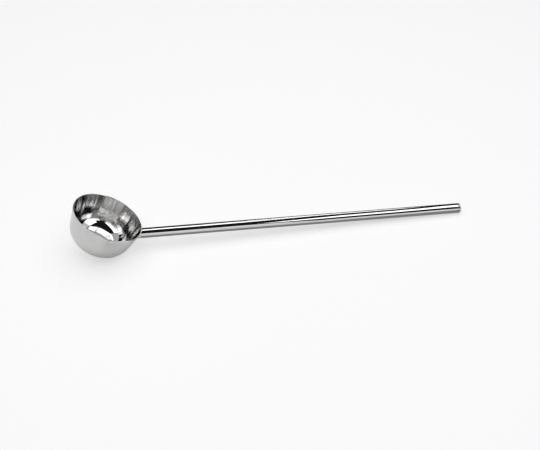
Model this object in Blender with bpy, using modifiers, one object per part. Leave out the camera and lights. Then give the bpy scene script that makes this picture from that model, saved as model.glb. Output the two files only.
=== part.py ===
"""Spouted ladle: a drawn steel cup with a pulled pouring lip, and a closed steel tube welded to its wall as a handle.

Lengths are in metres and +Z is up. The ladle is modelled with its cup upright, the rim at height zero, the handle
rising towards +X and the lip towards -Y. One empty then tilts it to the way it lies on a table, on the heel of the
cup and the tip of the handle, and puts the origin under the middle of its box.
"""

import math

import bmesh
import bpy
from mathutils import Matrix, Vector

# Cup, drawn from one round sheet
RIM_RADIUS = 0.055
CUP_DEPTH = 0.057
SHEET = 0.0012
WALL_LEAN = math.radians(11.6)
HEEL_RADIUS = 0.0335

# Pouring lip, pulled out of the wall on the left of whoever holds the handle
LIP_REACH = 0.0040
LIP_HALF_ANGLE = math.radians(39)
LIP_DEPTH = 0.026
LIP_CURL = 2.2
LIP_TIP_ROUND = 0.0030
LIP_SHOULDER = math.radians(12)

# Handle tube, coped to the wall of the cup
TUBE_DIAMETER = 0.0159
TUBE_WALL = 0.0010
HANDLE_LENGTH = 0.525
HANDLE_RISE = math.radians(25)
HANDLE_DROP = 0.0154

# Plug that closes the far end of the tube
PLUG_HEAD = 0.0045
PLUG_EDGE_ROUND = 0.0028
PLUG_SPIGOT = 0.010

# Welds: a fillet round the tube where it meets the cup, and a ring ground flush behind the plug's head
CUP_WELD_LEG = 0.0030
END_WELD_WIDTH = 0.0016

# Clearance between pieces that seat on each other
SEAT_GAP = 0.0003

# Fineness of the round shapes
CUP_STEPS = 72
HEEL_STEPS = 8
WALL_STEPS = 6
RIM_STEPS = 4
TUBE_SIDES = 48
PLUG_EDGE_STEPS = 6
WELD_STEPS = 64
MOST_MERGE = 0.00001

TUBE_RADIUS = TUBE_DIAMETER / 2
TUBE_BORE_RADIUS = TUBE_RADIUS - TUBE_WALL
SPIGOT_RADIUS = TUBE_BORE_RADIUS - SEAT_GAP
PLUG_SEAT = HANDLE_LENGTH - PLUG_HEAD
TUBE_END = PLUG_SEAT - END_WELD_WIDTH - 2 * SEAT_GAP
HANDLE_DIRECTION = Vector((math.cos(HANDLE_RISE), 0, math.sin(HANDLE_RISE)))

# The wall is a straight line, held by its outward normal and its distance from the rim's centre
WALL_NORMAL = Vector((math.cos(WALL_LEAN), 0, -math.sin(WALL_LEAN)))
RIM_BEAD = Vector((RIM_RADIUS - SHEET / 2, 0, -SHEET / 2))
WALL_OFFSET = RIM_BEAD.dot(WALL_NORMAL) + SHEET / 2
HEEL_HEIGHT = HEEL_RADIUS - CUP_DEPTH
HEEL_CENTRE = Vector(((WALL_OFFSET - HEEL_RADIUS - HEEL_HEIGHT * WALL_NORMAL.z) / WALL_NORMAL.x, 0, HEEL_HEIGHT))
HEEL_TOP = HEEL_HEIGHT + HEEL_RADIUS * WALL_NORMAL.z


def wall_radius(height, grow=0.0):
    """Outer radius of the straight wall at a height, with the wall grown outwards by grow."""
    return (WALL_OFFSET + grow - height * WALL_NORMAL.z) / WALL_NORMAL.x


def outer_radius(height):
    """Outer radius of the cup at a height: the straight wall, then the heel below it."""
    if height >= HEEL_TOP:
        return wall_radius(height)
    below = min(HEEL_HEIGHT - height, HEEL_RADIUS)
    return HEEL_CENTRE.x + math.sqrt(HEEL_RADIUS**2 - below**2)


HANDLE_SEAT = Vector((outer_radius(-HANDLE_DROP), 0, -HANDLE_DROP))


def clear_scene():
    """Removes every object of the scene."""
    for obj in list(bpy.data.objects):
        bpy.data.objects.remove(obj)


def new_collection(name):
    """A collection linked to the scene."""
    collection = bpy.data.collections.new(name)
    bpy.context.scene.collection.children.link(collection)
    return collection


def metal(name, colour, roughness):
    """A bare metal finish."""
    finish = bpy.data.materials.new(name)
    finish.use_nodes = True
    shader = finish.node_tree.nodes["Principled BSDF"]
    shader.inputs["Base Color"].default_value = (*colour, 1)
    shader.inputs["Metallic"].default_value = 1
    shader.inputs["Roughness"].default_value = roughness
    return finish


def place(obj, collection, parent, finish=None):
    """Puts a new object in its collection, under its parent, with its finish."""
    for holder in list(obj.users_collection):
        holder.objects.unlink(obj)
    collection.objects.link(obj)
    obj.parent = parent
    if finish:
        obj.data.materials.clear()
        obj.data.materials.append(finish)
    return obj


def new_empty(name, collection, parent=None):
    """An empty that carries other objects."""
    empty = bpy.data.objects.new(name, None)
    collection.objects.link(empty)
    empty.parent = parent
    return empty


def as_cutter(obj):
    """Marks an object as a tool that only cuts others."""
    obj.hide_render = True
    obj.display_type = "WIRE"
    return obj


def turned(name, section, steps, closed=False):
    """A solid turned about its own Z axis from a section of (radius, height) points."""
    count = len(section)
    edges = [(i, i + 1) for i in range(count - 1)]
    if closed:
        edges.append((count - 1, 0))
    mesh = bpy.data.meshes.new(name)
    mesh.from_pydata([(radius, 0, height) for radius, height in section], edges, [])
    obj = bpy.data.objects.new(name, mesh)
    screw = obj.modifiers.new("turn", "SCREW")
    screw.steps = steps
    screw.render_steps = steps
    screw.use_merge_vertices = True
    screw.merge_threshold = MOST_MERGE
    screw.use_smooth_shade = True
    return obj


def baked(obj):
    """The same object as a plain mesh, with its modifiers applied, its doubles welded and its faces pointing out."""
    bpy.context.scene.collection.objects.link(obj)
    graph = bpy.context.evaluated_depsgraph_get()
    mesh = bpy.data.meshes.new_from_object(obj.evaluated_get(graph))
    name = obj.name
    bpy.data.objects.remove(obj)
    shape = bmesh.new()
    shape.from_mesh(mesh)
    bmesh.ops.remove_doubles(shape, verts=shape.verts, dist=MOST_MERGE)
    bmesh.ops.recalc_face_normals(shape, faces=shape.faces)
    shape.to_mesh(mesh)
    shape.free()
    mesh.shade_smooth()
    mesh.set_sharp_from_angle(angle=math.radians(40))
    return bpy.data.objects.new(name, mesh)


def cut(obj, tool, name):
    """Takes a tool away from an object."""
    boolean = obj.modifiers.new(name, "BOOLEAN")
    boolean.operation = "DIFFERENCE"
    boolean.object = tool


def heel_arc(radius):
    """Points of the heel, from the wall down to the base, at a radius about the heel's centre."""
    start = -WALL_LEAN
    sweep = math.pi / 2 - WALL_LEAN
    angles = [start - sweep * i / HEEL_STEPS for i in range(HEEL_STEPS + 1)]
    return [(HEEL_CENTRE.x + radius * math.cos(a), HEEL_CENTRE.z + radius * math.sin(a)) for a in angles]


def wall_line(top, bottom):
    """Points down the straight wall between two ends, both left out, crowded towards the rim."""
    shares = [(i / WALL_STEPS) ** 1.3 for i in range(1, WALL_STEPS)]
    return [(top[0] + (bottom[0] - top[0]) * s, top[1] + (bottom[1] - top[1]) * s) for s in shares]


def rim_round():
    """Points over the rounded edge of the sheet, from the inner wall to the outer wall."""
    angles = [math.pi - WALL_LEAN - math.pi * i / RIM_STEPS for i in range(RIM_STEPS + 1)]
    return [(RIM_BEAD.x + SHEET / 2 * math.cos(a), RIM_BEAD.z + SHEET / 2 * math.sin(a)) for a in angles]


def cup_section():
    """The wall of the cup in section, from the middle of the base inside, over the rim, to the middle outside."""
    inner = heel_arc(HEEL_RADIUS - SHEET)
    outer = heel_arc(HEEL_RADIUS)
    rim = rim_round()
    inner_wall = wall_line(rim[0], inner[0])
    outer_wall = wall_line(rim[-1], outer[0])
    inside = [(0, SHEET - CUP_DEPTH), *reversed(inner), *reversed(inner_wall)]
    outside = [*outer_wall, *outer, (0, -CUP_DEPTH)]
    return inside + rim + outside


def lip_push(point):
    """How far the pouring lip moves a point of the cup towards -Y.

    At the rim the lip is two straight flanks that meet in a rounded tip. It fades out down the wall.
    """
    turn = abs(math.atan2(point.x, -point.y))
    fade = max(0.0, 1 + point.z / LIP_DEPTH)
    if turn >= LIP_HALF_ANGLE or fade == 0:
        return 0.0
    tip = RIM_RADIUS + LIP_REACH
    aside = RIM_RADIUS * math.sin(turn)
    widest = RIM_RADIUS * math.sin(LIP_HALF_ANGLE)
    fall = tip - RIM_RADIUS * math.cos(LIP_HALF_ANGLE)
    share = (math.hypot(aside, LIP_TIP_ROUND) - LIP_TIP_ROUND) / (math.hypot(widest, LIP_TIP_ROUND) - LIP_TIP_ROUND)
    push = tip - fall * share - RIM_RADIUS * math.cos(turn)
    shoulder = min(1.0, (LIP_HALF_ANGLE - turn) / LIP_SHOULDER)
    return push * shoulder * shoulder * (3 - 2 * shoulder) * min(fade, 1.0) ** LIP_CURL


def make_cup():
    """The drawn cup with its rounded rim, flat base and pulled lip."""
    cup = baked(turned("cup", cup_section(), CUP_STEPS))
    for vertex in cup.data.vertices:
        vertex.co.y -= lip_push(vertex.co)
    return cup


def make_cup_envelope():
    """The filled outer shape of the cup, grown by the seat gap and run on above the rim, which copes the handle."""
    above = TUBE_DIAMETER
    heel = heel_arc(HEEL_RADIUS + SEAT_GAP)
    top = (wall_radius(above, SEAT_GAP), above)
    section = [(0, above), top, *wall_line(top, heel[0]), *heel, (0, -CUP_DEPTH - SEAT_GAP)]
    return as_cutter(baked(turned("cup_envelope", section, CUP_STEPS)))


def cylinder(name, radius, start, end, ends):
    """A cylinder about its own Z axis between two heights."""
    bpy.ops.mesh.primitive_cylinder_add(
        vertices=TUBE_SIDES, radius=radius, depth=end - start, end_fill_type=ends
    )
    obj = bpy.context.object
    obj.name = name
    obj.data.name = name
    obj.data.transform(Matrix.Translation((0, 0, (start + end) / 2)))
    obj.data.shade_smooth()
    obj.data.set_sharp_from_angle(angle=math.radians(40))
    return obj


def make_handle_tube(envelope):
    """The tube of the handle: bore and wall from the start, its near end coped to the cup."""
    tube = cylinder("handle_tube", TUBE_RADIUS, -1.2 * TUBE_DIAMETER, TUBE_END, "NOTHING")
    wall = tube.modifiers.new("wall", "SOLIDIFY")
    wall.thickness = TUBE_WALL
    wall.offset = -1
    wall.use_even_offset = True
    cut(tube, envelope, "cope")
    return tube


def weld_path():
    """Points where the outside of the tube meets the outside of the cup, round the tube."""
    across = Vector((0, 1, 0))
    upward = HANDLE_DIRECTION.cross(across)
    points = []
    for i in range(WELD_STEPS):
        angle = 2 * math.pi * i / WELD_STEPS
        line = HANDLE_SEAT + TUBE_RADIUS * (math.cos(angle) * across + math.sin(angle) * upward)
        near, far = -2 * TUBE_DIAMETER, 2 * TUBE_DIAMETER
        for _ in range(50):
            middle = (near + far) / 2
            point = line + middle * HANDLE_DIRECTION
            if math.hypot(point.x, point.y) < outer_radius(point.z):
                near = middle
            else:
                far = middle
        points.append(line + near * HANDLE_DIRECTION)
    return points


def make_cup_weld(envelope, tube_space):
    """The fillet weld round the foot of the tube: a bead along the joint, less the cup and the tube."""
    path = weld_path()
    curve = bpy.data.curves.new("cup_weld", "CURVE")
    curve.dimensions = "3D"
    curve.bevel_depth = CUP_WELD_LEG
    curve.bevel_resolution = 2
    spline = curve.splines.new("POLY")
    spline.points.add(len(path) - 1)
    for point, place_of in zip(spline.points, path):
        point.co = (*place_of, 1)
    spline.use_cyclic_u = True
    weld = baked(bpy.data.objects.new("cup_weld", curve))
    cut(weld, envelope, "seat_on_cup")
    cut(weld, tube_space, "seat_on_tube")
    return weld


def make_end_plug():
    """The plug in the tube's far end: a head as wide as the tube with a rounded edge, and a spigot in the bore."""
    edge = TUBE_RADIUS - PLUG_EDGE_ROUND
    angles = [math.pi / 2 * (1 - i / PLUG_EDGE_STEPS) for i in range(PLUG_EDGE_STEPS + 1)]
    shoulder = PLUG_HEAD - PLUG_EDGE_ROUND
    arc = [(edge + PLUG_EDGE_ROUND * math.cos(a), shoulder + PLUG_EDGE_ROUND * math.sin(a)) for a in angles]
    spigot = [(SPIGOT_RADIUS, 0), (SPIGOT_RADIUS, -PLUG_SPIGOT), (0, -PLUG_SPIGOT)]
    return baked(turned("handle_end_plug", [(0, PLUG_HEAD), *arc, (TUBE_RADIUS, 0), *spigot], TUBE_SIDES))


def make_end_weld():
    """The weld between the tube's end and the plug's head, ground flush with the tube."""
    inner = SPIGOT_RADIUS + SEAT_GAP
    section = [(TUBE_RADIUS, END_WELD_WIDTH), (TUBE_RADIUS, 0), (inner, 0), (inner, END_WELD_WIDTH)]
    return baked(turned("handle_end_weld", section, TUBE_SIDES, closed=True))


def rest_tilt():
    """The tilt about Y at which the heel of the cup and the tip of the handle touch the same level surface."""
    along = HANDLE_LENGTH - PLUG_EDGE_ROUND
    beside = Vector((math.sin(HANDLE_RISE), 0, -math.cos(HANDLE_RISE)))
    tip = HANDLE_SEAT + along * HANDLE_DIRECTION + (TUBE_RADIUS - PLUG_EDGE_ROUND) * beside

    def tip_above_heel(tilt):
        turn = Matrix.Rotation(tilt, 3, "Y")
        return (turn @ tip).z - PLUG_EDGE_ROUND - (turn @ HEEL_CENTRE).z + HEEL_RADIUS

    low, high = 0.0, math.pi / 2
    for _ in range(50):
        middle = (low + high) / 2
        if tip_above_heel(middle) > 0:
            low = middle
        else:
            high = middle
    return low


def box_of(objects):
    """Lowest and highest corner of some objects in the world."""
    bpy.context.view_layer.update()
    graph = bpy.context.evaluated_depsgraph_get()
    corners = []
    for obj in objects:
        shown = obj.evaluated_get(graph)
        corners += [shown.matrix_world @ vertex.co for vertex in shown.to_mesh().vertices]
        shown.to_mesh_clear()
    low = Vector(min(corner[i] for corner in corners) for i in range(3))
    high = Vector(max(corner[i] for corner in corners) for i in range(3))
    return low, high


def main():
    clear_scene()
    parts = new_collection("spouted_ladle")
    tools = new_collection("cutters")
    polished = metal("polished_steel", (0.80, 0.80, 0.79), 0.09)
    ground = metal("ground_weld_steel", (0.72, 0.71, 0.69), 0.28)

    ladle = new_empty("ladle_at_rest", parts)
    ladle.rotation_euler.y = rest_tilt()
    handle = new_empty("handle_axis", parts, ladle)
    handle.location = HANDLE_SEAT
    handle.rotation_euler.y = math.pi / 2 - HANDLE_RISE

    envelope = place(make_cup_envelope(), tools, ladle)
    tube_space = as_cutter(
        cylinder("tube_space", TUBE_RADIUS + SEAT_GAP, -3 * TUBE_DIAMETER, 3 * TUBE_DIAMETER, "NGON")
    )
    place(tube_space, tools, handle)

    place(make_cup(), parts, ladle, polished)
    place(make_handle_tube(envelope), parts, handle, polished)
    place(make_cup_weld(envelope, tube_space), parts, ladle, ground)
    plug = place(make_end_plug(), parts, handle, polished)
    plug.location.z = PLUG_SEAT
    end_weld = place(make_end_weld(), parts, handle, ground)
    end_weld.location.z = TUBE_END + SEAT_GAP

    low, high = box_of([obj for obj in parts.objects if obj.type == "MESH"])
    ladle.location = (-(low.x + high.x) / 2, -(low.y + high.y) / 2, -low.z)
    print("rest tilt", round(math.degrees(rest_tilt()), 2), "degrees, box", [round(s, 4) for s in high - low])


main()
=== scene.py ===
# %% [markdown]
# # A spouted ladle in polished steel
# A ladle like this is five pieces of stainless steel: a cup drawn from sheet, a long tube for a
# handle, the weld between them, a plug in the far end of the tube and the weld that holds the plug.
# The imported model gives their sizes and places. This lesson makes a fine mesh and a finish for each
# piece, then lights and frames the ladle. Everything is in metres. The first cell loads the packed
# model and keeps its parts, whose boxes give places later on.

# %% Load the imported model
import math

import bmesh
import bpy
from mathutils import Matrix, Vector


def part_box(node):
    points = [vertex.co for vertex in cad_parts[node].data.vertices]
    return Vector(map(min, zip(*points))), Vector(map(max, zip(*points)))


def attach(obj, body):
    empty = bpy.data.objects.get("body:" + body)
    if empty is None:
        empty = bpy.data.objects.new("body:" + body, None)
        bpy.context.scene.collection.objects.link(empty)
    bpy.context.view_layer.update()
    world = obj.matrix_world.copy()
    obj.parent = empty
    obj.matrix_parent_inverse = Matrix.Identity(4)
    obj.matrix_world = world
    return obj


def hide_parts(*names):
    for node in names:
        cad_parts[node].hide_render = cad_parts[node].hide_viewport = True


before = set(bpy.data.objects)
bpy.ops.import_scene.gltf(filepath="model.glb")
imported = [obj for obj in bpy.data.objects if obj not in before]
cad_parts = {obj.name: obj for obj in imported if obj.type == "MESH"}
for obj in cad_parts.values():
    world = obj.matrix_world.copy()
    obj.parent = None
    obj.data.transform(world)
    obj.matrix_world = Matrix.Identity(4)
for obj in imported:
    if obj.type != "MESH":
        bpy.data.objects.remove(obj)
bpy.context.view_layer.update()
print("packed nodes:", ", ".join(sorted(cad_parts)))

# %% [markdown]
# ## Sums on node sockets
# Node trees hold a lot of plain arithmetic. Adding each Math node by hand hides the sum that it is
# part of. The small class below wraps one socket, so that `1 - mask` or `radius + height` adds the
# Math nodes by itself. Its method `node` adds any other node: its type, the values or links of its
# sockets, and its settings.

# %% A socket that takes part in sums


class Wire:
    """One output socket of a node tree. Sums on wires add Math nodes, and node() adds any other node."""

    def __init__(self, tree, socket=None):
        self.tree = tree
        self.socket = socket

    def node(self, kind, values=None, settings=None, output=0):
        """Adds a node, sets its settings and then its sockets, and returns one of its outputs."""
        made = self.tree.nodes.new(kind)
        for name, setting in (settings or {}).items():
            setattr(made, name, setting)
        for key, value in (values or {}).items():
            if isinstance(value, Wire):
                self.tree.links.new(value.socket, made.inputs[key])
            else:
                made.inputs[key].default_value = value
        return Wire(self.tree, made.outputs[output])

    def out(self, name):
        """Another output of the same node."""
        return Wire(self.tree, self.socket.node.outputs[name])

    def feed(self, node, name):
        """Links this wire to an input of a node that already exists."""
        self.tree.links.new(self.socket, node.inputs[name])

    def maths(self, operation, *others):
        """A Math node with this wire as its first value."""
        return self.node("ShaderNodeMath", dict(enumerate((self, *others))), {"operation": operation})

    def __add__(self, other):
        return self.maths("ADD", other)

    def __radd__(self, other):
        return self.maths("ADD", other)

    def __mul__(self, other):
        return self.maths("MULTIPLY", other)

    def __rmul__(self, other):
        return self.maths("MULTIPLY", other)

    def __sub__(self, other):
        return self.maths("SUBTRACT", other)

    def __rsub__(self, other):
        return self.node("ShaderNodeMath", {0: other, 1: self}, {"operation": "SUBTRACT"})

    def __truediv__(self, other):
        return self.maths("DIVIDE", other)

    def __pow__(self, other):
        return self.maths("POWER", other)

    def __neg__(self):
        return self * -1

    def between(self, low, high, start=0.0, end=1.0):
        """This value, carried smoothly from the range low to high onto start to end."""
        values = {"Value": self, "From Min": low, "From Max": high, "To Min": start, "To Max": end}
        return self.node("ShaderNodeMapRange", values, {"interpolation_type": "SMOOTHSTEP"})


# %% [markdown]
# ## Running a Geometry Nodes tree
# A tree is like a small machine with named dials. Each tree here starts from a few points, such as
# the section of the cup, and builds the whole piece from them. A modifier runs the tree, and its
# result becomes a plain mesh, so that no modifier is left on the piece. A dial is set through its
# identifier, because two dials may share a name.

# %% Helpers that start and end a tree


def new_tree(name, dials):
    """A Geometry Nodes tree with named inputs. Returns the tree and a wire on its input node."""
    tree = bpy.data.node_groups.new(name, "GeometryNodeTree")
    tree.interface.new_socket("Points", in_out="INPUT", socket_type="NodeSocketGeometry")
    for title, kind in dials.items():
        tree.interface.new_socket(title, in_out="INPUT", socket_type="NodeSocket" + kind)
    tree.interface.new_socket("Piece", in_out="OUTPUT", socket_type="NodeSocketGeometry")
    return tree, Wire(tree).node("NodeGroupInput")


def end_tree(piece, finish):
    """Closes a tree: real geometry instead of instances, and the piece's finish."""
    real = piece.node("GeometryNodeRealizeInstances", {"Geometry": piece})
    dressed = piece.node("GeometryNodeSetMaterial", {"Geometry": real, "Material": finish})
    dressed.feed(piece.tree.nodes.new("NodeGroupOutput"), "Piece")


# %% Helpers that turn a tree's result into a plain mesh
SAME_PLACE, NO_LENGTH = 1e-6, 1e-7
SHARP_ANGLE = math.radians(40)


def close_and_smooth(mesh):
    """Welds a mesh's seams and poles, turns its faces outwards and smooths it between its sharp edges."""
    shape = bmesh.new()
    shape.from_mesh(mesh)
    bmesh.ops.remove_doubles(shape, verts=shape.verts, dist=SAME_PLACE)
    bmesh.ops.dissolve_degenerate(shape, edges=shape.edges, dist=NO_LENGTH)
    bmesh.ops.recalc_face_normals(shape, faces=shape.faces)
    open_edges = sum(1 for edge in shape.edges if not edge.is_manifold)
    shape.to_mesh(mesh)
    shape.free()
    mesh.shade_smooth()
    mesh.set_sharp_from_angle(angle=SHARP_ANGLE)
    print(mesh.name, "has", len(mesh.polygons), "faces and", open_edges, "open edges")


def run_tree(tree, name, points, dials, place):
    """Runs a tree on some points, and returns the piece as a plain mesh put in its place."""
    source = bpy.data.meshes.new(name + "_points")
    source.from_pydata(points, [], [])
    piece = bpy.data.objects.new(name, source)
    bpy.context.scene.collection.objects.link(piece)
    machine = piece.modifiers.new(tree.name, "NODES")
    machine.node_group = tree
    for socket in tree.interface.items_tree:
        if socket.in_out == "INPUT" and socket.name in dials:
            machine[socket.identifier] = dials[socket.name]
    graph = bpy.context.evaluated_depsgraph_get()
    mesh = bpy.data.meshes.new_from_object(piece.evaluated_get(graph))
    piece.modifiers.remove(machine)
    piece.data = mesh
    mesh.name = name
    bpy.data.meshes.remove(source)
    mesh.transform(place)
    close_and_smooth(mesh)
    return piece


# %% [markdown]
# ## Sizes
# A few driving sizes give the whole ladle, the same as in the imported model. Both main pieces are
# easiest to draw upright: the cup with its rim at height zero, the tube along its own axis. In
# section the wall of the cup is a straight line, held by its normal and its distance from the
# middle of the rim. It runs into the round heel, and the heel into the flat base. The axis of the
# handle leaves the wall a little below the rim.

# %% Sizes of the cup
RIM_RADIUS, CUP_DEPTH, SHEET = 0.055, 0.057, 0.0012
HEEL_RADIUS = 0.0335
WALL_LEAN = math.radians(11.6)
WALL_NORMAL = Vector((math.cos(WALL_LEAN), 0, -math.sin(WALL_LEAN)))
RIM_BEAD = Vector((RIM_RADIUS - SHEET / 2, 0, -SHEET / 2))
WALL_OFFSET = RIM_BEAD.dot(WALL_NORMAL) + SHEET / 2
HEEL_HEIGHT = HEEL_RADIUS - CUP_DEPTH
HEEL_MIDDLE = (WALL_OFFSET - HEEL_RADIUS - HEEL_HEIGHT * WALL_NORMAL.z) / WALL_NORMAL.x
print("the flat base is", round(2 * HEEL_MIDDLE, 4), "metres wide")

# %% Sizes of the handle
TUBE_RADIUS, TUBE_WALL = 0.00795, 0.0010
HANDLE_LENGTH, HANDLE_DROP = 0.525, 0.0154
HANDLE_RISE = math.radians(25)
PLUG_EDGE_ROUND = 0.0028
HANDLE_SEAT = Vector(((WALL_OFFSET + HANDLE_DROP * WALL_NORMAL.z) / WALL_NORMAL.x, 0, -HANDLE_DROP))
HANDLE_AIM = Vector((math.cos(HANDLE_RISE), 0, math.sin(HANDLE_RISE)))
ACROSS = Vector((0, 1, 0))
UPWARD = HANDLE_AIM.cross(ACROSS)
print("the handle leaves the wall", round(HANDLE_SEAT.x, 4), "metres from the middle of the cup")

# %% [markdown]
# ## How the ladle lies
# The ladle lies on a table, on the heel of its cup and on the tip of its handle. One could turn it
# by eye until both touch. Here a search by halves finds the tilt at which both are equally low. The
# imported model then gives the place: the far end of its plug and the side of its cup. Two matrices
# carry what is drawn upright to where it lies.

# %% Tilt at rest
HALVINGS = 50
HEEL_CENTRE = Vector((HEEL_MIDDLE, 0, HEEL_HEIGHT))


def edge_round(side):
    """Middle of the rounded edge at the tip of the handle: 1 for its upper side, -1 for its lower side."""
    beside = side * (TUBE_RADIUS - PLUG_EDGE_ROUND) * UPWARD
    return HANDLE_SEAT + (HANDLE_LENGTH - PLUG_EDGE_ROUND) * HANDLE_AIM + beside


def rest_tilt():
    """The tilt about Y at which the heel and the tip of the handle touch the same level surface."""
    low, high = 0.0, math.pi / 2
    for _ in range(HALVINGS):
        tilt = (low + high) / 2
        turn = Matrix.Rotation(tilt, 3, "Y")
        tip_bottom = (turn @ edge_round(-1)).z - PLUG_EDGE_ROUND
        heel_bottom = (turn @ HEEL_CENTRE).z - HEEL_RADIUS
        if tip_bottom > heel_bottom:
            low = tilt
        else:
            high = tilt
    return low


REST_TILT = rest_tilt()
print("the rim leans", round(math.degrees(REST_TILT), 1), "degrees towards the handle")

# %% Places of the cup and of the handle
rest_turn = Matrix.Rotation(REST_TILT, 3, "Y")
far_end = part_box("handle_end_plug")[1].x
cup_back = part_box("cup")[1].y
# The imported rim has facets, so it is widest where its round edge meets the wall.
RIM_CENTRE = Vector((
    far_end - PLUG_EDGE_ROUND - (rest_turn @ edge_round(1)).x,
    cup_back - RIM_BEAD.x - SHEET / 2 * WALL_NORMAL.x,
    HEEL_RADIUS - (rest_turn @ HEEL_CENTRE).z,
))
CUP_PLACE = Matrix.Translation(RIM_CENTRE) @ rest_turn.to_4x4()
handle_turn = Matrix.Rotation(math.pi / 2 - HANDLE_RISE, 4, "Y")
HANDLE_PLACE = CUP_PLACE @ Matrix.Translation(HANDLE_SEAT) @ handle_turn
TUBE_TILT = REST_TILT + math.pi / 2 - HANDLE_RISE
print("the middle of the rim is at", [round(value, 4) for value in RIM_CENTRE])

# %% [markdown]
# ## What the finishes share
# All five pieces are bare steel, so their finishes share a few patterns. Each reads the object's
# coordinates, carried back to the upright drawing of its piece, so that a pattern can follow the
# lathe or the length of a tube. Noise that is stretched a lot becomes fine lines, and a narrow
# range of it becomes hairline scratches.

# %% Helpers that start a finish
STEEL_LIGHT = (0.585, 0.581, 0.578, 1)
STEEL_DARK = (0.535, 0.532, 0.529, 1)


def new_finish(name):
    """A bare metal material. Returns it, its shader and a wire to add nodes with."""
    finish = bpy.data.materials.new(name)
    finish.use_nodes = True
    shader = finish.node_tree.nodes["Principled BSDF"]
    shader.inputs["Metallic"].default_value = 1
    return finish, shader, Wire(finish.node_tree)


def upright(wire, place, turn):
    """Object coordinates, carried back to a piece's upright drawing, whole and as x, y and z."""
    here = wire.node("ShaderNodeTexCoord", output="Object")
    values = {"Vector": here, "Location": place, "Rotation": (0, turn, 0)}
    drawn = wire.node("ShaderNodeMapping", values, {"vector_type": "TEXTURE"})
    axes = wire.node("ShaderNodeSeparateXYZ", {"Vector": drawn})
    return drawn, axes.out("X"), axes.out("Y"), axes.out("Z")


def mixed(share, first, second):
    """A colour between two colours."""
    values = {"Factor": share, 6: first, 7: second}
    return share.node("ShaderNodeMix", values, {"data_type": "RGBA"}, output=2)


# %% Patterns
SCRATCH_SETS = (
    {"size": (40, 1500, 1500), "turn": (0.3, 0.8, 0.5), "range": (0.66, 0.74)},
    {"size": (1400, 55, 1400), "turn": (0.9, 0.2, 1.1), "range": (0.68, 0.76)},
)
SMEAR_DETAIL, SMEAR_GRAIN, SMEAR_RANGE = 4.0, 0.6, (0.42, 0.75)
FINE_STRENGTH = 0.35


def noise(vector, scale=1.0, detail=2.0, roughness=0.5):
    """A noise value from 0 to 1."""
    values = {"Vector": vector, "Scale": scale, "Detail": detail, "Roughness": roughness}
    return vector.node("ShaderNodeTexNoise", values, {"noise_dimensions": "3D"})


def stretched(vector, size, turn=(0, 0, 0)):
    """Coordinates stretched so that a noise on them becomes lines along one way."""
    return vector.node("ShaderNodeMapping", {"Vector": vector, "Scale": size, "Rotation": turn})


def smeared(vector, scale=1.0):
    """Faint smears from hands and cloths, from 0 to 1."""
    return noise(vector, scale, SMEAR_DETAIL, SMEAR_GRAIN).between(*SMEAR_RANGE)


def scratches(vector):
    """Hairline scratches in two crossing directions, from 0 to 1."""
    first, second = [
        noise(stretched(vector, each["size"], each["turn"]), detail=1.0).between(*each["range"])
        for each in SCRATCH_SETS
    ]
    return first.maths("MAXIMUM", second)


def bump(height, depth, strength=FINE_STRENGTH, under=None):
    """A bump of a given depth in metres, laid over another bump if there is one."""
    values = {"Height": height, "Strength": strength, "Distance": depth}
    return height.node("ShaderNodeBump", values | ({"Normal": under} if under else {}))


# %% [markdown]
# ## The finish of the cup
# Stainless sheet is polished on a lathe, so its fine lines run round the cup. The inside is buffed
# to a mirror and the outside is a little softer, with faint smears from hands and cloths. On the
# inner wall the lines are deeper, and they draw every reflection out into an upright streak. The
# press also leaves that wall a little wavy, which bends the streaks. The base is a clean mirror.
# One could paint all of this on a texture. Noise in the cup's own coordinates needs no picture and
# stays sharp: it changes the roughness, the colour and a shallow bump. The tree of the cup stores
# an attribute that says which side of the sheet a point is on.

# %% Relief of the inner wall
GROOVES_PER_METRE, GROOVE_TURNS, GROOVE_DEPTH = 1500, 3, 0.00008
WAVES_PER_RADIAN, WAVE_PHASE, WAVE_DEPTH = 5, 2.6, 0.0016
MIRROR_TOP, GROOVE_FOOT, WAVE_FOOT = -0.042, -0.039, -0.020


def round_cup(x, y, turns, along):
    """Coordinates that go round the cup a few turns while they go along its section."""
    radius = (x * x + y * y).maths("SQRT")
    values = {"X": x / radius * turns, "Y": y / radius * turns, "Z": along}
    return x.node("ShaderNodeCombineXYZ", values)


def wall_relief(x, y, z, way, inside):
    """The grooves and the waves of the inner wall. Both fade out above the mirror of the base."""
    grooves = noise(round_cup(x, y, GROOVE_TURNS, way * GROOVES_PER_METRE))
    waves = noise(round_cup(x, y, WAVES_PER_RADIAN, WAVE_PHASE), detail=0.0)
    shown_grooves = grooves * z.between(MIRROR_TOP, GROOVE_FOOT) * inside
    shown_waves = waves * z.between(MIRROR_TOP, WAVE_FOOT) * inside
    wavy = bump(shown_waves, WAVE_DEPTH, strength=1.0)
    return bump(shown_grooves, GROOVE_DEPTH, strength=1.0, under=wavy)


# %% Finish of the cup
LINES_PER_METRE, LINE_DEPTH, LINE_HEIGHT = 900, 0.000004, 0.5
SMEAR_SCALE, LINE_TINT = 42.0, 0.3
MIRROR_ROUGH, OUTSIDE_ROUGH = 0.02, 0.10
LINE_ROUGH, SMEAR_ROUGH, SCRATCH_ROUGH = 0.01, 0.02, 0.04


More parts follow.
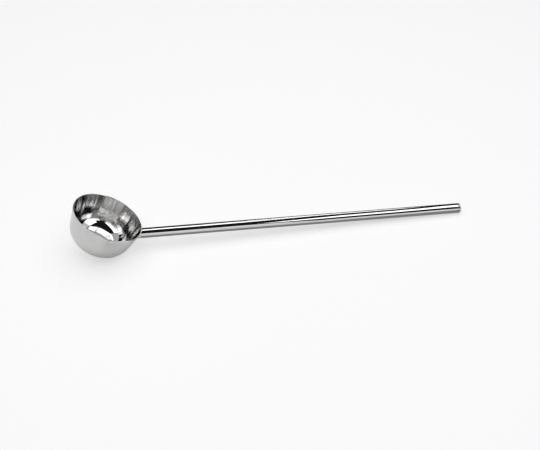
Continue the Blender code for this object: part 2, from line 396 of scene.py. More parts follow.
def cup_finish():
    """Sheet polished round the cup, a mirror inside and a little softer outside."""
    finish, shader, wire = new_finish("cup_polish")
    drawn, x, y, z = upright(wire, RIM_CENTRE, REST_TILT)
    way = (x * x + y * y).maths("SQRT") + z
    lines = noise(round_cup(x, y, 1, way * LINES_PER_METRE), detail=3.0)
    smears = smeared(drawn, SMEAR_SCALE)
    marks = scratches(drawn)
    inside = wire.node("ShaderNodeAttribute", settings={"attribute_name": "inside"}, output="Fac")
    softness = MIRROR_ROUGH + (1 - inside) * OUTSIDE_ROUGH
    rough = softness + lines * LINE_ROUGH + smears * SMEAR_ROUGH + marks * SCRATCH_ROUGH
    tint = smears * (1 - LINE_TINT) + lines * LINE_TINT
    mixed(tint, STEEL_LIGHT, STEEL_DARK).feed(shader, "Base Color")
    rough.feed(shader, "Roughness")
    relief = wall_relief(x, y, z, way, inside)
    bump(lines * LINE_HEIGHT + marks, LINE_DEPTH, under=relief).feed(shader, "Normal")
    return finish


cup_polish = cup_finish()
print("cup finish:", len(cup_polish.node_tree.nodes), "nodes")

# %% [markdown]
# ## The cup
# A press draws the cup from a round sheet: a straight wall that leans outwards, a wide rounded heel
# and a small flat base. Its edge is rounded, and a lip is pulled out of the wall to pour from. One
# could spin a profile with a Screw modifier and then sculpt the lip. A Geometry Nodes tree does
# both by rule: it wraps a flat grid round the axis, one side of the grid along the section of the
# sheet, and pushes the points near the lip outwards. At the rim the lip is two straight flanks that
# meet in a rounded tip, and it fades out down the wall.

# %% Section of the sheet
BASE_STEPS, HEEL_STEPS, WALL_STEPS, RIM_STEPS = 6, 26, 24, 10
INNER_RIM_POINTS = 3
RIM_CROWDING = 1.3


def arc(middle, height, radius, start, end, steps):
    """Points on an arc in the section plane, from one angle to another."""
    angles = [start + (end - start) * i / steps for i in range(steps + 1)]
    return [(middle + radius * math.cos(a), 0, height + radius * math.sin(a)) for a in angles]


def wall_line(rim_end, heel_end):
    """Points down the straight wall between its two ends, both left out, crowded towards the rim."""
    shares = [(i / WALL_STEPS) ** RIM_CROWDING for i in range(1, WALL_STEPS)]
    return [tuple(Vector(rim_end).lerp(Vector(heel_end), share)) for share in shares]


def cup_section():
    """Points along the sheet from the middle of the base inside, over the rim, to the middle outside."""
    heel = (HEEL_MIDDLE, HEEL_HEIGHT)
    inner = arc(*heel, HEEL_RADIUS - SHEET, -WALL_LEAN, -math.pi / 2, HEEL_STEPS)
    outer = arc(*heel, HEEL_RADIUS, -WALL_LEAN, -math.pi / 2, HEEL_STEPS)
    rim = arc(RIM_BEAD.x, RIM_BEAD.z, SHEET / 2, math.pi - WALL_LEAN, -WALL_LEAN, RIM_STEPS)
    base = [HEEL_MIDDLE * i / BASE_STEPS for i in range(BASE_STEPS)]
    base_inside = [(x, 0, SHEET - CUP_DEPTH) for x in base]
    base_outside = [(x, 0, -CUP_DEPTH) for x in reversed(base)]
    inside = base_inside + inner[::-1] + wall_line(rim[0], inner[0])[::-1]
    outside = wall_line(rim[-1], outer[0]) + outer + base_outside
    return inside + rim + outside, len(inside) + INNER_RIM_POINTS


section, inner_points = cup_section()
print("the section of the sheet has", len(section), "points,", inner_points, "of them inside")

# %% Sum that pushes the lip out
LIP = {
    "Lip Reach": 0.0040,
    "Lip Half Angle": math.radians(39),
    "Lip Depth": 0.026,
    "Lip Curl": 2.2,
    "Lip Tip Round": 0.0030,
    "Lip Shoulder": math.radians(12),
    "Rim Radius": RIM_RADIUS,
}


def lip_push(dials, x, y, z):
    """How far the lip moves a point towards -Y, as a sum of wires."""
    rim, half = dials.out("Rim Radius"), dials.out("Lip Half Angle")
    tip_round = dials.out("Lip Tip Round")
    turn = x.maths("ARCTAN2", -y).maths("ABSOLUTE")
    tip = rim + dials.out("Lip Reach")
    aside = rim * turn.maths("SINE")
    widest = rim * half.maths("SINE")
    fall = tip - rim * half.maths("COSINE")
    bend = (aside * aside + tip_round * tip_round).maths("SQRT") - tip_round
    whole = (widest * widest + tip_round * tip_round).maths("SQRT") - tip_round
    push = tip - fall * (bend / whole) - rim * turn.maths("COSINE")
    shoulder = ((half - turn) / dials.out("Lip Shoulder")).between(0.0, 1.0)
    fade = (1 + z / dials.out("Lip Depth")).maths("MAXIMUM", 0.0).maths("MINIMUM", 1.0)
    return push * shoulder * fade ** dials.out("Lip Curl")


print("the lip reaches", LIP["Lip Reach"], "metres past the rim")

# %% Tree that wraps a section round an axis


def grid_cells(dials, rows):
    """A grid of steps by rows, with wires for the row and the share of a turn of each of its points."""
    around = dials.out("Steps") + 1
    grid = dials.node("GeometryNodeMeshGrid", {"Vertices X": around, "Vertices Y": rows})
    index = dials.node("GeometryNodeInputIndex")
    row = dials.node("FunctionNodeIntegerMath", {0: index, 1: rows}, {"operation": "MODULO"})
    column = dials.node("FunctionNodeIntegerMath", {0: index, 1: rows}, {"operation": "DIVIDE_FLOOR"})
    return grid, row, column / dials.out("Steps")


def point_of(dials, index):
    """The place of one of the points that the tree started from."""
    here = dials.node("GeometryNodeInputPosition")
    values = {"Geometry": dials.out("Points"), "Value": here, "Index": index}
    return dials.node("GeometryNodeSampleIndex", values, {"data_type": "FLOAT_VECTOR"})


def wrap_tree():
    """Wraps a section round the Z axis, with a lip where its reach isn't zero."""
    kinds = {"Steps": "Int", "Inner Points": "Int", "Finish": "Material"}
    tree, dials = new_tree("wrap_section", kinds | dict.fromkeys(LIP, "Float"))
    count = dials.node("GeometryNodeAttributeDomainSize", {"Geometry": dials.out("Points")})
    grid, row, share = grid_cells(dials, count)
    spot = dials.node("ShaderNodeSeparateXYZ", {"Vector": point_of(dials, row)})
    angle = share * math.tau
    x = spot.out("X") * angle.maths("COSINE")
    y = spot.out("X") * angle.maths("SINE")
    z = spot.out("Z")
    place = dials.node("ShaderNodeCombineXYZ", {"X": x, "Y": y - lip_push(dials, x, y, z), "Z": z})
    wrapped = dials.node("GeometryNodeSetPosition", {"Geometry": grid, "Position": place})
    inside = row.maths("LESS_THAN", dials.out("Inner Points"))
    values = {"Geometry": wrapped, "Name": "inside", "Value": inside}
    kind = {"data_type": "FLOAT", "domain": "POINT"}
    marked = dials.node("GeometryNodeStoreNamedAttribute", values, kind)
    end_tree(marked, dials.out("Finish"))
    return tree


wrap_section = wrap_tree()
print("tree", wrap_section.name, "has", len(wrap_section.nodes), "nodes")

# %% The cup itself
CUP_STEPS = 288
cup_dials = {"Steps": CUP_STEPS, "Inner Points": inner_points, "Finish": cup_polish} | LIP
cup = run_tree(wrap_section, "ladle_cup", section, cup_dials, CUP_PLACE)

# %% [markdown]
# ## The finish of the handle
# A drawn tube is polished along its length, so its fine lines run from end to end. The same noise
# patterns are stretched along the tube. Where hands hold it, the polish is a little duller.

# %% Finish of the tube
TUBE_LINES, TUBE_LINE_DEPTH = (2600, 2600, 9), 0.000003
TUBE_SMEARS, TUBE_LINE_TINT = (60, 60, 22), 0.4
TUBE_ROUGH, TUBE_LINE_ROUGH = 0.012, 0.012
TUBE_SMEAR_ROUGH, HELD_SMEAR_ROUGH = 0.01, 0.02
HELD_START, HELD_END = (0.22, 0.36), (0.47, 0.52)


def tube_finish():
    """Tube polished along its length, duller where it is held."""
    finish, shader, wire = new_finish("tube_polish")
    drawn, _, _, z = upright(wire, HANDLE_PLACE.translation, TUBE_TILT)
    lines = noise(stretched(drawn, TUBE_LINES), detail=3.0)
    smears = smeared(stretched(drawn, TUBE_SMEARS))
    held = z.between(*HELD_START) * z.between(*HELD_END, start=1.0, end=0.0)
    dull = smears * (TUBE_SMEAR_ROUGH + held * HELD_SMEAR_ROUGH)
    marks = scratches(drawn)
    rough = TUBE_ROUGH + lines * TUBE_LINE_ROUGH + dull + marks * SCRATCH_ROUGH
    tint = smears * (1 - TUBE_LINE_TINT) + lines * TUBE_LINE_TINT
    mixed(tint, STEEL_LIGHT, STEEL_DARK).feed(shader, "Base Color")
    rough.feed(shader, "Roughness")
    bump(lines * LINE_HEIGHT + marks, TUBE_LINE_DEPTH).feed(shader, "Normal")
    return finish


tube_polish = tube_finish()
print("tube finish:", len(tube_polish.node_tree.nodes), "nodes")

# %% [markdown]
# ## The tube
# The near end of the tube is coped: cut to the round wall of the cup, so that it sits tight all the
# way round. Each line along the tube therefore starts where that line meets the wall. A search by
# halves finds that point for every line, which is simpler and cleaner than cutting one mesh with
# another. The wall of the tube has its real thickness. The tube ends short of the plug's head, with
# room for a weld between them.

# %% Where a line along the handle meets the cup
SEARCH_REACH = 0.03


def cup_radius(height):
    """Outer radius of the cup at a height."""
    if height >= HEEL_HEIGHT + HEEL_RADIUS * WALL_NORMAL.z:
        return (WALL_OFFSET - height * WALL_NORMAL.z) / WALL_NORMAL.x
    below = min(HEEL_HEIGHT - height, HEEL_RADIUS)
    return HEEL_MIDDLE + math.sqrt(HEEL_RADIUS**2 - below**2)


def reach_to_cup(radius, angle):
    """How far along the handle a line on a tube of some radius meets the cup, and the line's own start."""
    start = HANDLE_SEAT + radius * (math.cos(angle) * ACROSS + math.sin(angle) * UPWARD)
    near, far = -SEARCH_REACH, SEARCH_REACH
    for _ in range(HALVINGS):
        middle = (near + far) / 2
        point = start + middle * HANDLE_AIM
        if math.hypot(point.x, point.y) < cup_radius(point.z):
            near = middle
        else:
            far = middle
    return near, start


top_reach = reach_to_cup(TUBE_RADIUS, math.pi / 2)[0]
print("the top line of the tube meets the cup", round(top_reach, 5), "metres along the handle")

# %% The tube itself
PLUG_HEAD, END_WELD_WIDTH = 0.0045, 0.0016
SEAT_GAP, HAIRLINE = 0.0003, 0.00004
TUBE_SIDES, TUBE_STEPS = 128, 24
PLUG_SEAT = HANDLE_LENGTH - PLUG_HEAD
TUBE_END = PLUG_SEAT - END_WELD_WIDTH - 2 * SEAT_GAP


def tube_rings():
    """Rings of points along the outside of the tube and back along its bore."""
    angles = [math.tau * i / TUBE_SIDES for i in range(TUBE_SIDES)]
    shares = [i / TUBE_STEPS for i in range(TUBE_STEPS + 1)]
    rings = []
    for radius, way in ((TUBE_RADIUS, shares), (TUBE_RADIUS - TUBE_WALL, shares[::-1])):
        starts = [reach_to_cup(radius, angle) for angle in angles]
        for share in way:
            ring = []
            for reach, start in starts:
                first = reach + HAIRLINE
                ring.append(start + (first + (TUBE_END - first) * share) * HANDLE_AIM)
            rings.append(ring)
    return rings


def closed_rings(name, rings, finish, place):
    """A ring-shaped body skinned over closed rings of points, the last joined to the first."""
    count, around = len(rings), len(rings[0])
    corners = [tuple(point) for ring in rings for point in ring]
    faces = []
    for i in range(count):
        low, high = i * around, (i + 1) % count * around
        for j in range(around):
            after = (j + 1) % around
            faces.append((low + j, low + after, high + after, high + j))
    mesh = bpy.data.meshes.new(name)
    mesh.from_pydata(corners, [], faces)
    mesh.transform(place)
    mesh.materials.append(finish)
    close_and_smooth(mesh)
    piece = bpy.data.objects.new(name, mesh)
    bpy.context.scene.collection.objects.link(piece)
    return piece


tube = closed_rings("ladle_handle", tube_rings(), tube_polish, CUP_PLACE)

# %% [markdown]
# ## The weld at the cup
# A fillet weld fills the corner between tube and wall. It is laid in small overlapping ripples and
# then buffed, so they only just show, and the heat leaves a faint straw tint. The weld follows a
# path, so a tree makes it. It starts from three rails of points: one on the tube, one on the wall
# and one in the corner. Between the first two it draws a curve, and a wave along the path raises
# the ripples.

# %% Finish of the weld
WELD_GREY = (0.52, 0.515, 0.50, 1)
WELD_STRAW = (0.56, 0.50, 0.40, 1)
CUP_WELD_STRAW, END_WELD_STRAW = 0.5, 0.15
GRIND_SIZE, GRIND_TURN, GRIND_DEPTH = (2200, 900, 900), (0.4, 0.7, 0.2), 0.000006
HEAT_SCALE, HEAT_GRAIN, CLOUD_RANGE = 260.0, 0.6, (0.4, 0.7)
WELD_ROUGH, GRIND_ROUGH, HEAT_ROUGH = 0.13, 0.08, 0.06
GRIND_TINT = 0.1


def weld_finish(name, straw):
    """Buffed weld metal: fine grinding marks, duller than the sheet, with a share of straw tint."""
    finish, shader, wire = new_finish(name)
    drawn, _, _, _ = upright(wire, HANDLE_PLACE.translation, TUBE_TILT)
    grind = noise(stretched(drawn, GRIND_SIZE, GRIND_TURN), detail=3.0)
    heat = noise(drawn, HEAT_SCALE, 3.0, HEAT_GRAIN).between(*CLOUD_RANGE)
    mixed(heat * straw + grind * GRIND_TINT, WELD_GREY, WELD_STRAW).feed(shader, "Base Color")
    (WELD_ROUGH + grind * GRIND_ROUGH + heat * HEAT_ROUGH).feed(shader, "Roughness")
    bump(grind, GRIND_DEPTH).feed(shader, "Normal")
    return finish


cup_weld_buffed = weld_finish("cup_weld_buffed", CUP_WELD_STRAW)
print("weld finish:", len(cup_weld_buffed.node_tree.nodes), "nodes")

# %% Rails of the weld
WELD_LEG, WELD_STEPS = 0.0029, 240


def weld_rails():
    """Three closed rails of points: on the tube, on the wall of the cup and in the corner between them."""
    angles = [math.tau * i / WELD_STEPS for i in range(WELD_STEPS)]
    corner = []
    for angle in angles:
        reach, start = reach_to_cup(TUBE_RADIUS, angle)
        corner.append(start + (reach + HAIRLINE) * HANDLE_AIM)
    on_tube, on_wall = [], []
    for i, angle in enumerate(angles):
        outward = math.cos(angle) * ACROSS + math.sin(angle) * UPWARD
        on_tube.append(corner[i] + WELD_LEG * HANDLE_AIM + HAIRLINE * outward)
        along = (corner[(i + 1) % WELD_STEPS] - corner[i - 1]).normalized()
        sideways = Vector((corner[i].x, corner[i].y, 0)).normalized()
        wall_out = (WALL_NORMAL.x * sideways + Vector((0, 0, WALL_NORMAL.z))).normalized()
        aside = wall_out.cross(along)
        aside *= 1 if aside.dot(outward) > 0 else -1
        spot = corner[i] + WELD_LEG * aside
        level = Vector((spot.x, spot.y, 0)).normalized() * (cup_radius(spot.z) + HAIRLINE)
        on_wall.append(Vector((level.x, level.y, spot.z)))
    return [tuple(point) for point in on_tube + on_wall + corner]


rails = weld_rails()
print("the weld follows", WELD_STEPS, "points round the foot of the tube")

# %% Tree of the weld
RIPPLE_SLANT = 2.2


def weld_tree():
    """Skins the three rails, with ripples on the side that shows."""
    kinds = {"Steps": "Int", "Rows": "Int", "Ripples": "Int", "Ripple Height": "Float", "Hollow": "Float"}
    tree, dials = new_tree("weld_fillet", kinds | {"Finish": "Material"})
    rows, steps = dials.out("Rows"), dials.out("Steps")
    grid, row, share = grid_cells(dials, rows + 3)
    spot = (share * steps).maths("ROUND").maths("MODULO", steps)
    on_tube, on_wall = point_of(dials, spot), point_of(dials, spot + steps)
    corner = point_of(dials, spot + steps * 2)

    def blend(factor, first, second):
        values = {"Factor": factor, 4: first, 5: second}
        settings = {"data_type": "VECTOR", "clamp_factor": False}
        return dials.node("ShaderNodeMix", values, settings, output=1)

    across = (row / rows).maths("MINIMUM", 1.0)
    middle = blend(dials.out("Hollow"), blend(0.5, on_tube, on_wall), corner)
    curve = blend(across, blend(across, on_tube, middle), blend(across, middle, on_wall))
    swell = across * (1 - across) * 4
    wave = (share * dials.out("Ripples") * math.tau + swell * RIPPLE_SLANT).maths("SINE")
    raised = blend(1 + wave * swell * dials.out("Ripple Height"), corner, curve)
    behind = row.maths("GREATER_THAN", rows)
    last = row.maths("GREATER_THAN", rows + 1)
    place = blend(last, blend(behind, raised, corner), on_tube)
    skin = dials.node("GeometryNodeSetPosition", {"Geometry": grid, "Position": place})
    end_tree(skin, dials.out("Finish"))
    return tree


weld_dials = {"Steps": WELD_STEPS, "Rows": 12, "Ripples": 46, "Ripple Height": 0.05, "Hollow": 0.25}
weld_dials["Finish"] = cup_weld_buffed
cup_weld = run_tree(weld_tree(), "ladle_cup_weld", rails, weld_dials, CUP_PLACE)

# %% [markdown]
# ## The end of the handle
# A short plug with a rounded edge closes the tube, and a weld ground flush holds it. Both are
# turned shapes, so the tree that wrapped the cup wraps them too, with no lip. The flat end of the
# plug keeps the fine rings of the lathe.

# %% Finish of the plug
RING_SPREAD, RINGS_PER_METRE = 40, 2600
RING_DEPTH, RING_HEIGHT, RING_TINT = 0.000005, 0.6, 0.4
PLUG_CLOUD_SCALE = 180.0
PLUG_ROUGH, RING_ROUGH, PLUG_CLOUD_ROUGH, PLUG_SCRATCH_ROUGH = 0.06, 0.06, 0.04, 0.06


def plug_finish():
    """Bar steel turned on a lathe and polished, with faint rings on its flat end."""
    finish, shader, wire = new_finish("plug_polish")
    drawn, x, y, z = upright(wire, HANDLE_PLACE.translation, TUBE_TILT)
    radius = (x * x + y * y).maths("SQRT")
    values = {"X": x * RING_SPREAD, "Y": y * RING_SPREAD, "Z": (radius - z) * RINGS_PER_METRE}
    rings = noise(wire.node("ShaderNodeCombineXYZ", values))
    cloud = noise(drawn, PLUG_CLOUD_SCALE, detail=3.0).between(*CLOUD_RANGE)
    marks = scratches(drawn)
    rough = PLUG_ROUGH + rings * RING_ROUGH + cloud * PLUG_CLOUD_ROUGH + marks * PLUG_SCRATCH_ROUGH
    tint = cloud * (1 - RING_TINT) + rings * RING_TINT
    mixed(tint, STEEL_LIGHT, STEEL_DARK).feed(shader, "Base Color")
    rough.feed(shader, "Roughness")
    bump(rings * RING_HEIGHT + marks, RING_DEPTH).feed(shader, "Normal")
    return finish


plug_polish = plug_finish()
end_weld_ground = weld_finish("end_weld_ground", END_WELD_STRAW)
print("plug finish:", len(plug_polish.node_tree.nodes), "nodes")

# %% Plug and weld ring
PLUG_SPIGOT = 0.010
SPIGOT_RADIUS = TUBE_RADIUS - TUBE_WALL - SEAT_GAP
END_STEPS, FACE_STEPS, EDGE_STEPS, CROWN_STEPS = 96, 5, 14, 8


def plug_section():
    """Points from the middle of the plug's end, round its edge, down its head and its spigot."""
    edge = TUBE_RADIUS - PLUG_EDGE_ROUND
    face = [(edge * i / FACE_STEPS, 0, HANDLE_LENGTH) for i in range(FACE_STEPS)]
    shoulder = HANDLE_LENGTH - PLUG_EDGE_ROUND
    round_edge = arc(edge, shoulder, PLUG_EDGE_ROUND, math.pi / 2, 0, EDGE_STEPS)
    head = [(TUBE_RADIUS, 0, PLUG_SEAT), (SPIGOT_RADIUS, 0, PLUG_SEAT)]
    spigot = [(SPIGOT_RADIUS, 0, PLUG_SEAT - PLUG_SPIGOT), (0, 0, PLUG_SEAT - PLUG_SPIGOT)]
    return face + round_edge + head + spigot


def ring_section():
    """Closed section of the weld ring between the tube and the plug's head, a hair proud of both."""
    low, high, inner = TUBE_END + HAIRLINE, PLUG_SEAT - HAIRLINE, TUBE_RADIUS - TUBE_WALL
    crown = []
    for i in range(CROWN_STEPS + 1):
        share = i / CROWN_STEPS
        proud = HAIRLINE * math.sin(math.pi * share)
        crown.append((TUBE_RADIUS + proud, 0, high + (low - high) * share))
    return crown + [(inner, 0, low), (inner, 0, high), crown[0]]


no_lip = dict.fromkeys(LIP, 0.0) | {"Lip Depth": 1.0, "Lip Shoulder": 1.0, "Lip Curl": 1.0}
plug_dials = no_lip | {"Steps": END_STEPS, "Inner Points": 0, "Finish": plug_polish}
plug = run_tree(wrap_section, "ladle_handle_plug", plug_section(), plug_dials, HANDLE_PLACE)
ring_dials = plug_dials | {"Finish": end_weld_ground}
end_weld = run_tree(wrap_section, "ladle_end_weld", ring_section(), ring_dials, HANDLE_PLACE)

# %% [markdown]
# ## Joining the pieces to the imported model
# Every piece rides on the one body of the model and stands for its imported node, which is hidden.
# The table also names each node's material slot.

# %% Bodies, nodes and slots
stands_for = {
    cup: ("cup", "cup_steel"),
    tube: ("handle_tube", "tube_steel"),
    cup_weld: ("cup_weld", "weld_steel"),
    plug: ("handle_end_plug", "plug_steel"),
    end_weld: ("handle_end_weld", "weld_steel"),
}
for piece, (node, slot) in stands_for.items():
    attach(piece, "root")
    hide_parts(node)
print(len(stands_for), "pieces stand for", len(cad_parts), "packed nodes")

# %% [markdown]
# ## Floor
# A pale matt floor carries the ladle. It glows a little by itself, so that the shadow under the
# ladle stays faint.

# %% Floor
FLOOR_SHADE, FLOOR_GLOW, FLOOR_HALF = 0.72, 0.52, 8.0
MATT_ROUGHNESS, MATT_GLOSS = 0.9, 0.1


def stage_mesh(name, corners, faces, material):
    """A plain piece of the stage."""
    mesh = bpy.data.meshes.new(name)
    mesh.from_pydata(corners, [], faces)
    mesh.materials.append(material)
    piece = bpy.data.objects.new(name, mesh)
    bpy.context.scene.collection.objects.link(piece)
    return piece


def matt(name, shade, glow):
    """A plain matt surface that glows a little."""
    finish = bpy.data.materials.new(name)
    finish.use_nodes = True
    sockets = finish.node_tree.nodes["Principled BSDF"].inputs
    sockets["Base Color"].default_value = (shade, shade, shade, 1)
    sockets["Roughness"].default_value = MATT_ROUGHNESS
    sockets["Specular IOR Level"].default_value = MATT_GLOSS
    sockets["Emission Color"].default_value = (1, 1, 1, 1)
    sockets["Emission Strength"].default_value = glow
    return finish


def flat(name, plan, height, material):
    """A level piece of the stage from its outline in plan."""
    corners = [(x, y, height) for x, y in plan]
    return stage_mesh(name, corners, [tuple(range(len(plan)))], material)


def square(half):
    """The plan of a square about the origin."""
    return [(-half, -half), (half, -half), (half, half), (-half, half)]


floor = flat("floor", square(FLOOR_HALF), 0, matt("pale_floor", FLOOR_SHADE, FLOOR_GLOW))
print("floor is", floor.dimensions.x, "metres wide")

# %% [markdown]
# ## Light panels
# Polished steel shows its surroundings more than itself, so the light is chosen for what it does in
# the metal. Soft panels overhead and low around the ladle give the white bands, and the dark room
# between them gives the black lines. An area light is a rectangle or an ellipse, so each panel is a
# mesh with an outline of its own. It shines and lets through what is behind it, and the camera
# doesn't see it. The cup and the handle each have panels of their own, kept apart by light linking,
# as a photographer lights two things in turn.

# %% Helpers for surfaces that only light or reflect


def glow(name, strength):
    """A light panel's surface: it shines and lets what is behind it through."""
    finish = bpy.data.materials.new(name)
    finish.use_nodes = True
    wire = Wire(finish.node_tree)
    finish.node_tree.nodes.remove(finish.node_tree.nodes["Principled BSDF"])
    shine = wire.node("ShaderNodeEmission", {"Strength": strength})
    clear = wire.node("ShaderNodeBsdfTransparent")
    both = wire.node("ShaderNodeAddShader", {0: shine, 1: clear})
    both.feed(finish.node_tree.nodes["Material Output"], "Surface")
    return finish


def lit_only(name, pieces):
    """A collection of the only pieces that some panels light."""
    group = bpy.data.collections.new(name)
    for piece in pieces:
        group.objects.link(piece)
    return group


def reflection_only(piece):
    """Hides a piece of the stage from everything but reflections."""
    piece.visible_camera = False
    piece.visible_diffuse = False
    piece.visible_shadow = False
    return piece


# %% Helpers for level and curved panels
PANEL_HEIGHT, BANK_RADIUS = 1.6, 4.0
BANK_FACET = 5


def panel(name, corners, faces, strength, group):
    """A light panel that shows only in the reflections of a few pieces."""
    piece = reflection_only(stage_mesh(name, corners, faces, glow(name + "_glow", strength)))
    piece.light_linking.receiver_collection = group
    return piece


def overhead(name, plan, strength, group, height=PANEL_HEIGHT):
    """A level panel from its outline in plan."""
    corners = [(x, y, height) for x, y in plan]
    return panel(name, corners, [tuple(range(len(plan)))], strength, group)


def bank(name, azimuths, elevations, strength, group, radius=BANK_RADIUS):
    """A curved panel round the cup between two azimuths from the front and two elevations, in degrees."""
    across = math.ceil((azimuths[1] - azimuths[0]) / BANK_FACET)
    rise = math.ceil((elevations[1] - elevations[0]) / BANK_FACET)
    corners = []
    for i in range(across + 1):
        az = math.radians(azimuths[0] + (azimuths[1] - azimuths[0]) * i / across)
        for j in range(rise + 1):
            el = math.radians(elevations[0] + (elevations[1] - elevations[0]) * j / rise)
            aim = Vector((math.sin(az) * math.cos(el), -math.cos(az) * math.cos(el), math.sin(el)))
            corners.append(Vector((RIM_CENTRE.x, RIM_CENTRE.y, 0)) + radius * aim)
    starts = [i * (rise + 1) + j for i in range(across) for j in range(rise)]
    faces = [(low, low + rise + 1, low + rise + 2, low + 1) for low in starts]
    return panel(name, corners, faces, strength, group)


# %% [markdown]
# ### Light for the handle
# A tube reflects a panel as a line along its length, and the outline of the panel decides how that
# line runs. Two panels overhead and an upright card in front give the white lines. A dark sheet on
# the floor shows only in the metal. It is a painted shadow of the handle, and it gives the grey along
# the handle's lower side. A low and a high bank at each end of the ladle give such white lines in views
# from its ends and from behind.

# %% Panels for the handle
HANDLE_PANEL_GLOW, CARD_GLOW, CARD_Y = 2.8, 1.15, -3.0
# The dark sheet's shade, glow and height below make a painted shadow of the handle on the floor.
PAINTED_SHADOW_SHADE, PAINTED_SHADOW_GLOW, PAINTED_SHADOW_HEIGHT = 0.02, 0.33, 0.0002
END_BANKS = {"tip": (65, 125), "foot": (-150, -30)}
BANK_ROWS = {"low": ((0, 12), 0.5), "high": ((16, 45), 1.8)}
handle_side = lit_only("handle_side", [tube, cup_weld, plug, end_weld])
back_near = [(-0.3, 0.08), (0.1, 0.08), (0.3, 0.35), (0.55, 1.1), (0.95, 1.6), (1.4, 2.75)]
back_far = [(0.7, 2.6), (0, 0.87), (-0.3, 0.6)]
overhead("handle_back", back_near + back_far, HANDLE_PANEL_GLOW, handle_side)
right_far = [(0.4, -1.95), (0.42, -1.2), (0.57, -0.3), (0.72, -0.08), (1.0, 0.7), (1.12, 0.8)]
right_near = [(1.0, -0.6), (0.65, -1.38), (0.56, -1.75)]
overhead("handle_right", right_far + right_near, HANDLE_PANEL_GLOW, handle_side)
card_left = [(-3, 0), (-3, 1.2), (0.1, 1.3), (0.45, 1.6), (0.62, 1.3)]
card_right = [(0.75, 0.42), (1.5, 1.3), (3, 1.3), (3, 0)]
card = [(x, CARD_Y, z) for x, z in card_left + card_right]
panel("handle_front", card, [tuple(range(len(card)))], CARD_GLOW, handle_side)
# The dark sheet is a painted shadow. It stands for the handle's shadow on the floor and shows only in the
# metal, as the grey along the handle's lower side.
painted_shadow_plan = [(-0.207, -0.043), (0.1, -0.032), (0.33, -0.06), (0.33, 0.1), (-0.207, 0.1)]
painted_shadow = matt("painted_handle_shadow", PAINTED_SHADOW_SHADE, PAINTED_SHADOW_GLOW)
reflection_only(flat("handle_painted_shadow", painted_shadow_plan, PAINTED_SHADOW_HEIGHT, painted_shadow))
for end, azimuths in END_BANKS.items():
    for row, (elevations, strength) in BANK_ROWS.items():
        bank(f"handle_{end}_{row}", azimuths, elevations, strength, handle_side)
print("the handle has two panels, a card, a cloth and", len(END_BANKS) * len(BANK_ROWS), "banks")

# %% [markdown]
# ### Light for the cup
# The cup is a hollow mirror: its base shows what is overhead, and its wall what is low on the other
# side. So it has panels overhead, with a dark gap between them that shows as the dark patch on the
# base, and banks low around it for the streaks of the wall.

# %% Panels for the cup
cup_side = lit_only("cup_side", [cup])
left_plan = [(-1.6, -0.2), (-0.82, -0.2), (-0.75, -0.8), (-0.45, -1.6), (-0.3, -2.6), (-1.6, -2.6)]
middle_near = [(-0.42, 0.7), (-0.45, 0), (-0.1, -0.27), (0.4, -0.6), (0.9, -0.73), (2.2, -0.5)]
middle_far = [(2.2, 0.3), (0.6, 0.35), (0.2, 0.7)]
far_left_plan = [(-1.8, -0.15), (-0.47, -0.15), (-0.44, 1.6), (-1.8, 1.6)]
far_right_plan = [(0.2, 0.7), (0.6, 0.35), (2.2, 0.3), (2.2, 1.6), (-0.42, 1.6), (-0.42, 0.7)]
cup_panels = {
    "left": (left_plan, 2.3),
    "middle": (middle_near + middle_far, 2.2),
    "far_left": (far_left_plan, 0.6),
    "far_right": (far_right_plan, 0.55),
}
for name, (plan, strength) in cup_panels.items():
    overhead("cup_" + name, plan, strength, cup_side)
print("the cup has", len(cup_panels), "panels overhead")

# %% Banks low around the cup
cup_banks = {
    "high": ((-68, -56), (46, 62), 4.0),
    "left": ((-136, -80), (0, 21), 2.0),
    "front": ((15, 36), (0, 21), 2.6),
    "front_right": ((36, 75), (0, 31), 2.6),
    "strip": ((52, 64), (0, 30), 3.5),
    "right": ((75, 96), (0, 30), 0.8),
    "far_right": ((124, 150), (0, 31), 0.8),
    "back": ((150, 205), (0, 31), 1.2),
}
for name, (azimuths, elevations, strength) in cup_banks.items():
    bank("cup_bank_" + name, azimuths, elevations, strength, cup_side)
print("the cup has", len(cup_banks), "banks around it")

# %% [markdown]
# ### Light for the floor
# One wide soft lamp lights the floor alone. A round board under the cup shows only in the metal. It
# glows less than the floor and has a stronger lamp, so that its shadow is deeper, and the cup
# darkens towards its foot. The two lamps hang a little apart, because panels in one plane would
# hide each other.

# %% Lamps for the floor and for the board
LAMP_HALF, LAMP_HEIGHT, LAMP_STRENGTH = 2.2, 2.2, 1.07
BOARD_GLOW, BOARD_REACH, BOARD_SIDES, BOARD_HEIGHT = 0.12, 0.3, 48, 0.0001
BOARD_LAMP_STRENGTH, LAMP_GAP = 2.1, 0.1


def lamp_over(piece, strength, height):
    """A wide soft lamp that lights one piece of the stage and shows in no reflection. Returns its group."""
    group = lit_only(piece.name + "_side", [piece])
    lamp = overhead(piece.name + "_lamp", square(LAMP_HALF), strength, group, height)
    lamp.visible_diffuse = True
    lamp.visible_glossy = False
    return group


floor_side = lamp_over(floor, LAMP_STRENGTH, LAMP_HEIGHT)
turns = [math.tau * i / BOARD_SIDES for i in range(BOARD_SIDES)]
round_plan = [BOARD_REACH * Vector((math.cos(turn), math.sin(turn))) for turn in turns]
board_plan = [(RIM_CENTRE.x + spot.x, RIM_CENTRE.y + spot.y) for spot in round_plan]
board_matt = matt("board_matt", FLOOR_SHADE, BOARD_GLOW)
board = reflection_only(flat("shadow_board", board_plan, BOARD_HEIGHT, board_matt))
lamp_over(board, BOARD_LAMP_STRENGTH, LAMP_HEIGHT + LAMP_GAP)
print("the lamps are", 2 * LAMP_HALF, "metres wide, for a board of", 2 * BOARD_REACH)

# %% [markdown]
# ### Backdrop and dark room
# The room is dark for the sake of the black lines in the metal. A backdrop far away shows only to
# the camera, in the tone of the floor's far edge, so that low views end in a pale tone and not in
# the dark room.

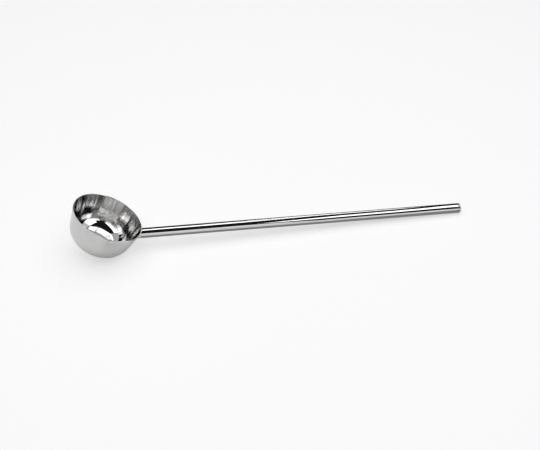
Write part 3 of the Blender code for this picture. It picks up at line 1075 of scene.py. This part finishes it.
# %% Backdrop and dark room
BACKDROP_GLOW, BACKDROP_RISE, BACKDROP_RADIUS = 0.515, (-6, 45), 1.5 * FLOOR_HALF
ROOM_SHADE = 0.015
backdrop = bank("backdrop", (-180, 180), BACKDROP_RISE, BACKDROP_GLOW, floor_side, BACKDROP_RADIUS)
backdrop.visible_camera = True
backdrop.visible_glossy = False

room = bpy.data.worlds.new("dark_room")
bpy.context.scene.world = room
room.use_nodes = True
room_colour = room.node_tree.nodes["Background"].inputs["Color"]
room_colour.default_value = (ROOM_SHADE, ROOM_SHADE, ROOM_SHADE, 1)
print("the backdrop stands", BACKDROP_RADIUS, "metres away")

# %% [markdown]
# ## Camera
# The picture this ladle follows was taken from the front and above, with hardly any roll. The
# angles, the distance and the focal length come from fitting the rim, the cup's outline and the
# handle to that picture.

# %% Camera at the picture's angle
AZIMUTH, ELEVATION, ROLL = math.radians(-10.46), math.radians(38.98), math.radians(0.64)
AIM_X, AIM_Y, DISTANCE = -0.24476, 0.01182, 1.375
FOCAL_PIXELS, PICTURE_WIDTH, SENSOR_WIDTH = 910.8, 540, 36

forward = Vector((-math.sin(AZIMUTH), math.cos(AZIMUTH), 0)) * math.cos(ELEVATION)
forward.z = -math.sin(ELEVATION)
level = forward.cross(Vector((0, 0, 1))).normalized()
above = level.cross(forward)
right = math.cos(ROLL) * level + math.sin(ROLL) * above
up = math.cos(ROLL) * above - math.sin(ROLL) * level
eye = RIM_CENTRE - AIM_X * right - AIM_Y * up - DISTANCE * forward
lens = bpy.data.cameras.new("picture_camera")
lens.sensor_width = SENSOR_WIDTH
lens.lens = FOCAL_PIXELS / PICTURE_WIDTH * SENSOR_WIDTH
camera = bpy.data.objects.new("picture_camera", lens)
camera.matrix_world = Matrix.Translation(eye) @ Matrix((right, up, -forward)).transposed().to_4x4()
bpy.context.scene.collection.objects.link(camera)
bpy.context.scene.camera = camera
bpy.context.scene.view_settings.view_transform = "Standard"
print("camera at", [round(value, 3) for value in eye], "with a lens of", round(lens.lens, 1), "mm")
